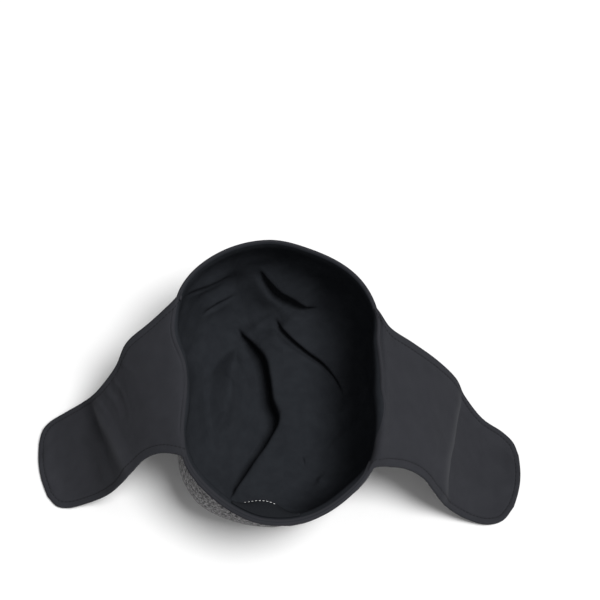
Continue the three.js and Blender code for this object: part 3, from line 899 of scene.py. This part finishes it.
class FlapSurface:
    """A flap's upper surface with what both its layers share."""

    def __init__(self, side, start, rows, columns):
        self.grid, self.places = flap_grid(side, start, INNER_STEPS, rows, columns)
        self.normals = sheet_normals(self.grid)
        self.distance = edge_distance(self.grid, self.places)
        loose = smoothstep(self.places, *LOOSE_FROM_RIM)
        inset = np.clip(EDGE_ROLL - self.distance, 0, EDGE_ROLL)
        self.roll = (EDGE_ROLL - np.sqrt(EDGE_ROLL ** 2 - inset ** 2)) * loose
        border = free_edge(self.grid, self.places)
        self.stitched = inset_path(border, self.grid, STITCH_INSET, TIP_STITCH_INSET)
        _, beside, _ = beside_path(self.stitched, self.grid, self.normals)
        self.groove = STITCH_GROOVE * np.exp(-(beside / GROOVE_WIDTH) ** 2) * loose
        hold = smoothstep(self.distance, *SWELL_FROM_EDGE) * smoothstep(self.places, *SWELL_FROM_RIM)
        heights, self.worn = flap_creases(side, self.grid, self.normals)
        self.swell = swells(self.grid, FLAP_SWELLS) * hold
        self.swell += heights * smoothstep(self.distance, *CREASE_FROM_EDGE)


def flap_pieces(side):
    flap = FlapSurface(side, facing_edge, *FACING_GRID)
    inner = flap.places - flap.places[:1]
    groove = WELT_GROOVES[side]
    share = np.linspace(0, 1, inner.shape[1])
    standing = smoothstep(share, groove.first - WELT_FADE, groove.first)
    standing *= 1 - smoothstep(share, groove.last, groove.last + WELT_FADE)
    welt = WELT_HEIGHT * np.exp(-((inner - WELT_PLACE) / WELT_WIDTH) ** 2)
    welt -= groove.depth * np.exp(-((inner - groove.place) / groove.width) ** 2)
    welt *= standing
    top = flap.grid + flap.normals * (flap.swell + welt - flap.roll - flap.groove)[..., None]
    middle = flap.grid + flap.normals * (flap.swell - FLAP_THICKNESS / 2)[..., None]
    middle[..., 2] = np.maximum(middle[..., 2], FACING_LOWEST)
    facing = sheet_piece(f"{side}_flap_facing", top, middle, plain_cloth(flap.grid), "black_facing",
                         [f"{side}_flap_lining"])
    # The painted highlight, kept on the facing's points for its material
    worn = facing.data.attributes.new("worn", "FLOAT", "POINT")
    worn.data.foreach_set("value", np.tile(flap.worn.ravel(), 2).astype(np.float32))
    thread_piece(f"{side}_flap_topstitching", [on_surface(top, flap.stitched)], "black_thread")

    flap = FlapSurface(side, lambda angle: np.full(angle.shape, FLAP_RISE), *KNIT_GRID)
    top = flap.grid + flap.normals * (flap.swell - FLAP_THICKNESS / 2 - LAYER_GAP)[..., None]
    under = flap.grid + flap.normals * (flap.swell - FLAP_THICKNESS + flap.roll + flap.groove)[..., None]
    under[..., 2] = np.maximum(under[..., 2], KNIT_LOWEST)
    top[..., 2] = np.maximum(top[..., 2], KNIT_TOP_LOWEST)
    sheet_piece(f"{side}_flap_knit", top, under, plain_cloth(flap.grid), "grey_knit",
                [f"{side}_flap_outer"])
    places, directions = on_surface(under, flap.stitched)
    thread_piece(f"{side}_flap_outer_topstitching", [(places, -directions)], "grey_thread")


# The crown's knit gores, with a seam between each two and a row of topstitching on each side of it
SEAM_STEPS = [0, 0.2, 0.5, 0.9, 1.3, 1.6, 1.9, 2.3, 2.9, 4.0]
SEAM_PINCH = 1.1
SEAM_WIDTH = 1.5
SEAM_STITCH = 3.2
STITCHED_RUNS = (0.3, 2.75)

# How far from the crown's middle the seams' pinch and the stitches' groove begin and come to their full size
PINCH_START = (2, 12)
GROOVE_START = (5, 9)

# The gores from the back right round to the front right, and the rows and columns of each
GORES = ["crown_back_right", "crown_back_left", "crown_front_left", "crown_front_right"]
GORE_COLUMNS = 60
GORE_HEM_RUNS = [0, 0.05, 0.15, 0.3, 0.6]
GORE_WALL_ROWS = 60
GORE_REST_ROWS = 19

# The knit's swells: how much they are lifted, between which runs and heights they come in, and how far the
# cloth rolls in at its upper edge
KNIT_LIFT = 0.92
SWELL_RUNS = (0.6, 1.3)
SWELL_HEIGHTS = (0.5, 14)
UPPER_ROLL = 0.7
GORE_LOWEST = 0.02
STITCHED_POINTS = 150


def crown_gore(quarter, name):
    """One gore's cloth. Gives back its two rows of stitches."""
    first = quarter * 90.0
    even = np.linspace(SEAM_STEPS[-1], 90 - SEAM_STEPS[-1], GORE_COLUMNS + 2)[1:-1]
    angles = first + np.concatenate([SEAM_STEPS, even, 90 - np.array(SEAM_STEPS)[::-1]])
    wall, rest = np.linspace(1, 2, GORE_WALL_ROWS), np.linspace(2, 3, GORE_REST_ROWS + 1)[1:]
    runs = np.concatenate([GORE_HEM_RUNS, wall, rest])
    base = crown_point(angles, runs[:, None])
    outward = crown_outward(angles, runs[:, None])
    radius = np.hypot(base[..., 0], base[..., 1])
    from_seam = np.radians(np.minimum(angles - first, first + 90 - angles)) * radius
    pinch = SEAM_PINCH * np.exp(-(from_seam / SEAM_WIDTH) ** 2) * smoothstep(radius, *PINCH_START)
    from_stitch = (from_seam - SEAM_STITCH) / GROOVE_WIDTH
    groove = STITCH_GROOVE * np.exp(-from_stitch ** 2) * smoothstep(radius, *GROOVE_START)
    swell = np.maximum(swells(base, KNIT_SWELLS) + KNIT_LIFT, 0)
    hold = smoothstep(runs, *SWELL_RUNS)[:, None] * smoothstep(base[..., 2], *SWELL_HEIGHTS)
    roll = UPPER_ROLL * (1 - smoothstep(runs, 0, STITCHED_RUNS[0]))[:, None]
    front = base + outward * (swell * hold - pinch - roll)[..., None]
    front[..., 2] = np.maximum(front[..., 2], GORE_LOWEST)
    front -= outward * groove[..., None]
    back = base - outward * OUTER_CLOTH
    sheet_piece(f"{name}_knit", front, back, gored_cloth(front, angles, ring=False), "grey_knit", [name],
                pole=True)
    stitched = np.linspace(*STITCHED_RUNS, STITCHED_POINTS)
    rows = []
    for edge, inward in ((first, 1), (first + 90, -1)):
        seam = crown_point(edge, stitched)
        beside = np.degrees(SEAM_STITCH / np.hypot(seam[:, 0], seam[:, 1]))
        rows.append(on_surface(front, crown_point(edge + inward * beside, stitched)))
    return rows


# The blank label, standing off the inside of the front hem, and the pale stitches along its free edge
LABEL_ARC = (246.5, 278.0)
LABEL_END_LENGTH = 2.5
LABEL_MIDDLE_LENGTH = 14.0
LABEL_ROOT = (-1.8, 3.4)
LABEL_CLOTH = 0.6
LABEL_CURL = 1.2
LABEL_MIDDLE_DROOP = 22.0
LABEL_END_DROOP = 70.0
LABEL_COLUMNS = 60
LABEL_ROWS = 30

# The place of the label's stitches among its rows and columns
LABEL_STITCHED = (-3, slice(8, 42))


def label():
    share = np.linspace(0, 1, LABEL_COLUMNS)
    angle = LABEL_ARC[0] + (LABEL_ARC[1] - LABEL_ARC[0]) * share
    rise, depth = LABEL_ROOT
    root = hem_point(angle, np.full(LABEL_COLUMNS, rise), depth)
    inward = -crown_outward(angle, 1.1)
    inward[:, 2] = 0
    inward = unit(inward)
    middle = np.sin(np.pi * share)
    droop = np.radians(LABEL_END_DROOP + (LABEL_MIDDLE_DROOP - LABEL_END_DROOP) * middle)[:, None]
    length = (LABEL_END_LENGTH + (LABEL_MIDDLE_LENGTH - LABEL_END_LENGTH) * middle)[:, None]
    upward = np.array([0.0, 0.0, 1.0])
    along = inward * np.cos(droop) - upward * np.sin(droop)
    across = inward * np.sin(droop) + upward * np.cos(droop)
    out = np.linspace(0, 1, LABEL_ROWS)[:, None, None]
    curl = LABEL_CURL * np.sin(np.pi * out)
    front = root + along * length * out + across * (LABEL_CLOTH + curl)
    back = front - across * LABEL_CLOTH
    sheet_piece("blank_label_strip", front, back, plain_cloth(front), "black_satin", ["blank_label"])
    edge = on_surface(front, even_path(front[LABEL_STITCHED], PATH_STEP / 2))
    thread_piece("label_stitches", [edge], "pale_thread", LABEL_STITCH)


# Materials, drawn from the cloth places of the pieces, which are in millimetres


class Cloth:
    """A procedural material: a shader with small helpers for the nodes that feed it."""

    def __init__(self, name, roughness, sheen=0.0, shine=0.0):
        self.material = bpy.data.materials.new(name)
        self.material.use_nodes = True
        self.tree = self.material.node_tree
        self.shader = self.tree.nodes["Principled BSDF"]
        self.shader.inputs["Roughness"].default_value = roughness
        self.shader.inputs["Sheen Weight"].default_value = sheen
        self.shader.inputs["Specular IOR Level"].default_value = shine
        place = self.tree.nodes.new("ShaderNodeUVMap")
        place.uv_map = "cloth"
        self.place = place.outputs["UV"]
        split = self.tree.nodes.new("ShaderNodeSeparateXYZ")
        self.tree.links.new(self.place, split.inputs[0])
        self.across, self.along = split.outputs["X"], split.outputs["Y"]
        materials[name] = self.material

    def feed(self, socket, value):
        if isinstance(value, bpy.types.NodeSocket):
            self.tree.links.new(value, socket)
        else:
            socket.default_value = value

    def math(self, operation, *values):
        node = self.tree.nodes.new("ShaderNodeMath")
        node.operation = operation
        for socket, value in zip(node.inputs, values):
            self.feed(socket, value)
        return node.outputs[0]

    def mottle(self, size, detail=2.0):
        """Noise from 0 to 1 with patches of the given size."""
        node = self.tree.nodes.new("ShaderNodeTexNoise")
        self.feed(node.inputs["Vector"], self.place)
        node.inputs["Scale"].default_value = 1 / size
        node.inputs["Detail"].default_value = detail
        return node.outputs["Fac"]

    def wave(self, slope_across, slope_along):
        """A wave from 0 to 1 that repeats over the given number of times per millimetre."""
        phase = self.math("ADD", self.math("MULTIPLY", self.across, slope_across),
                          self.math("MULTIPLY", self.along, slope_along))
        turn = self.math("SINE", self.math("MULTIPLY", phase, 2 * np.pi))
        return self.math("MULTIPLY_ADD", turn, 0.5, 0.5)

    def contrast(self, value, low, high):
        node = self.tree.nodes.new("ShaderNodeMapRange")
        node.inputs["From Min"].default_value = low
        node.inputs["From Max"].default_value = high
        self.feed(node.inputs["Value"], value)
        return node.outputs["Result"]

    def blend(self, share, first, second):
        node = self.tree.nodes.new("ShaderNodeMix")
        node.data_type = "RGBA"
        self.feed(node.inputs["Factor"], share)
        for socket, colour in ((node.inputs[6], first), (node.inputs[7], second)):
            self.feed(socket, colour if isinstance(colour, bpy.types.NodeSocket) else (*colour, 1.0))
        return node.outputs[2]

    def finish(self, colour, height, depth):
        """Sets the colour and the relief, whose depth is in millimetres."""
        self.feed(self.shader.inputs["Base Color"], colour)
        node = self.tree.nodes.new("ShaderNodeBump")
        node.inputs["Distance"].default_value = depth * MM
        self.feed(node.inputs["Height"], height)
        self.tree.links.new(node.outputs["Normal"], self.shader.inputs["Normal"])


def black_facing():
    """A soft twill: fine slanting ribs, faint patches, a little pale lint and a highlight painted along the
    flaps' crease ridges.
    """
    cloth = Cloth("black_facing", 0.9, sheen=0.02)
    ribs = cloth.wave(1.1, 1.3)
    threads = cloth.mottle(0.35)
    patches = cloth.contrast(cloth.mottle(11.0), 0.35, 0.65)
    colour = cloth.blend(patches, (0.0235, 0.0242, 0.0290), (0.0270, 0.0278, 0.0330))
    colour = cloth.blend(cloth.contrast(threads, 0.35, 0.7), colour, (0.0330, 0.0338, 0.0380))
    # Painted highlight: paler colour along the flaps' crease ridges, read from the points' highlight
    # attribute
    worn = cloth.tree.nodes.new("ShaderNodeAttribute")
    worn.attribute_name = "worn"
    colour = cloth.blend(worn.outputs["Fac"], colour, (0.046, 0.047, 0.052))
    lint = cloth.contrast(cloth.mottle(1.1, 4.0), 0.745, 0.78)
    colour = cloth.blend(lint, colour, (0.1, 0.1, 0.105))
    height = cloth.math("ADD", ribs, cloth.math("MULTIPLY", threads, 0.8))
    cloth.finish(colour, height, 0.10)


def black_lining():
    """A thin plain weave, smoother and a little bluer than the facing."""
    cloth = Cloth("black_lining", 0.8)
    weave = cloth.math("MULTIPLY", cloth.wave(2.0, 0.0), cloth.wave(0.0, 2.0))
    patches = cloth.contrast(cloth.mottle(9.0), 0.35, 0.65)
    colour = cloth.blend(patches, (0.0182, 0.0201, 0.0238), (0.0210, 0.0232, 0.0272))
    height = cloth.math("ADD", weave, cloth.math("MULTIPLY", cloth.mottle(3.5), 2.5))
    cloth.finish(colour, height, 0.09)


WALE = 1.5
COURSE = 1.15


def grey_knit():
    """Plain knit in heathered yarn: columns of small slanting stitches, flecked dark and pale, with shade
    painted into the low places between them.
    """
    cloth = Cloth("grey_knit", 0.95, sheen=0.1)
    column = cloth.math("FRACT", cloth.math("DIVIDE", cloth.across, WALE))
    aside = cloth.math("MULTIPLY", cloth.math("ABSOLUTE", cloth.math("SUBTRACT", column, 0.5)), 2.0)
    leg = cloth.math("SINE", cloth.math("MULTIPLY", aside, np.pi))
    row = cloth.math("ADD", cloth.math("DIVIDE", cloth.along, COURSE), cloth.math("MULTIPLY", aside, 0.8))
    loop = cloth.math("ABSOLUTE", cloth.math("SINE", cloth.math("MULTIPLY", row, np.pi)))
    legs = cloth.math("MULTIPLY_ADD", leg, 0.8, 0.2)
    height = cloth.math("MULTIPLY", legs, cloth.math("MULTIPLY_ADD", loop, 0.7, 0.3))
    flecks = cloth.contrast(cloth.mottle(2.4, 3.0), 0.38, 0.62)
    colour = cloth.blend(flecks, (0.055, 0.055, 0.059), (0.36, 0.355, 0.36))
    pale = cloth.contrast(cloth.mottle(1.3), 0.58, 0.68)
    colour = cloth.blend(pale, colour, (0.55, 0.545, 0.55))
    # Painted shade: the colour darkens to near black where the stitches' relief is lowest
    colour = cloth.blend(cloth.contrast(height, 0.45, 0.1), colour, (0.018, 0.018, 0.02))
    cloth.finish(colour, height, 0.35)


def black_satin():
    """Ribbon with fine ribs across it."""
    cloth = Cloth("black_satin", 0.85)
    colour = cloth.blend(cloth.mottle(2.0), (0.011, 0.012, 0.014), (0.016, 0.0175, 0.020))
    cloth.finish(colour, cloth.wave(1.6, 0.0), 0.05)


def thread(name, dark, light):
    """Twisted thread, with shade painted into the grooves of its twist."""
    cloth = Cloth(name, 0.8, shine=0.1)
    twist = cloth.wave(1.6, 1.2)
    # Painted shade: the colour is darker where the twist's relief is low and paler on its ridges
    cloth.finish(cloth.blend(twist, dark, light), twist, 0.05)


black_facing()
black_lining()
grey_knit()
black_satin()
thread("black_thread", (0.006, 0.006, 0.007), (0.014, 0.014, 0.016))
thread("grey_thread", (0.05, 0.05, 0.053), (0.1, 0.1, 0.105))
thread("pale_thread", (0.7, 0.7, 0.7), (0.85, 0.85, 0.84))


def place_camera():
    data = bpy.data.cameras.new("camera")
    data.lens = CAMERA_LENS
    data.sensor_width = SENSOR_WIDTH
    camera = bpy.data.objects.new("camera", data)
    camera.location = CAMERA_PLACE
    view = Vector(CAMERA_TARGET) - Vector(CAMERA_PLACE)
    camera.rotation_euler = view.to_track_quat("-Z", "Y").to_euler()
    bpy.context.scene.collection.objects.link(camera)
    bpy.context.scene.camera = camera


FLOOR_HALF = 6.0
FLOOR_GREY = 0.82
SKY_STRENGTH = 0.34


def place_floor():
    mesh = bpy.data.meshes.new("floor")
    corners = [(FLOOR_HALF * x, FLOOR_HALF * y, 0) for x, y in ((-1, -1), (1, -1), (1, 1), (-1, 1))]
    mesh.from_pydata(corners, [], [(0, 1, 2, 3)])
    floor = bpy.data.objects.new("floor", mesh)
    bpy.context.scene.collection.objects.link(floor)
    material = bpy.data.materials.new("white_floor")
    material.use_nodes = True
    shader = material.node_tree.nodes["Principled BSDF"]
    shader.inputs["Base Color"].default_value = (FLOOR_GREY, FLOOR_GREY, FLOOR_GREY, 1)
    shader.inputs["Roughness"].default_value = 0.9
    mesh.materials.append(material)


def sun(name, energy, angle, travel):
    """Light from far away: its strength, how many degrees wide it shines and which way it goes."""
    data = bpy.data.lights.new(name, "SUN")
    data.energy = energy
    data.angle = np.radians(angle)
    light = bpy.data.objects.new(name, data)
    light.rotation_euler = Vector(travel).to_track_quat("-Z", "Y").to_euler()
    bpy.context.scene.collection.objects.link(light)


def place_lights():
    sky = bpy.data.worlds.new("studio")
    sky.use_nodes = True
    sky.node_tree.nodes["Background"].inputs["Color"].default_value = (1.0, 1.0, 1.0, 1)
    sky.node_tree.nodes["Background"].inputs["Strength"].default_value = SKY_STRENGTH
    bpy.context.scene.world = sky
    sun("key", energy=3.2, angle=25, travel=(-0.42, 0.02, -1.0))
    sun("side", energy=0.35, angle=30, travel=(-1.0, 0.1, -0.5))
    bpy.context.scene.view_settings.view_transform = "Standard"


place_camera()
place_floor()
place_lights()
crown_lining()
for hem_name in HEMS:
    hem_piece(hem_name)
for side in FLAPS:
    flap_pieces(side)
seam_rows = []
for quarter, gore in enumerate(GORES):
    seam_rows += crown_gore(quarter, gore)
thread_piece("crown_seam_topstitching", seam_rows, "grey_thread")
label()
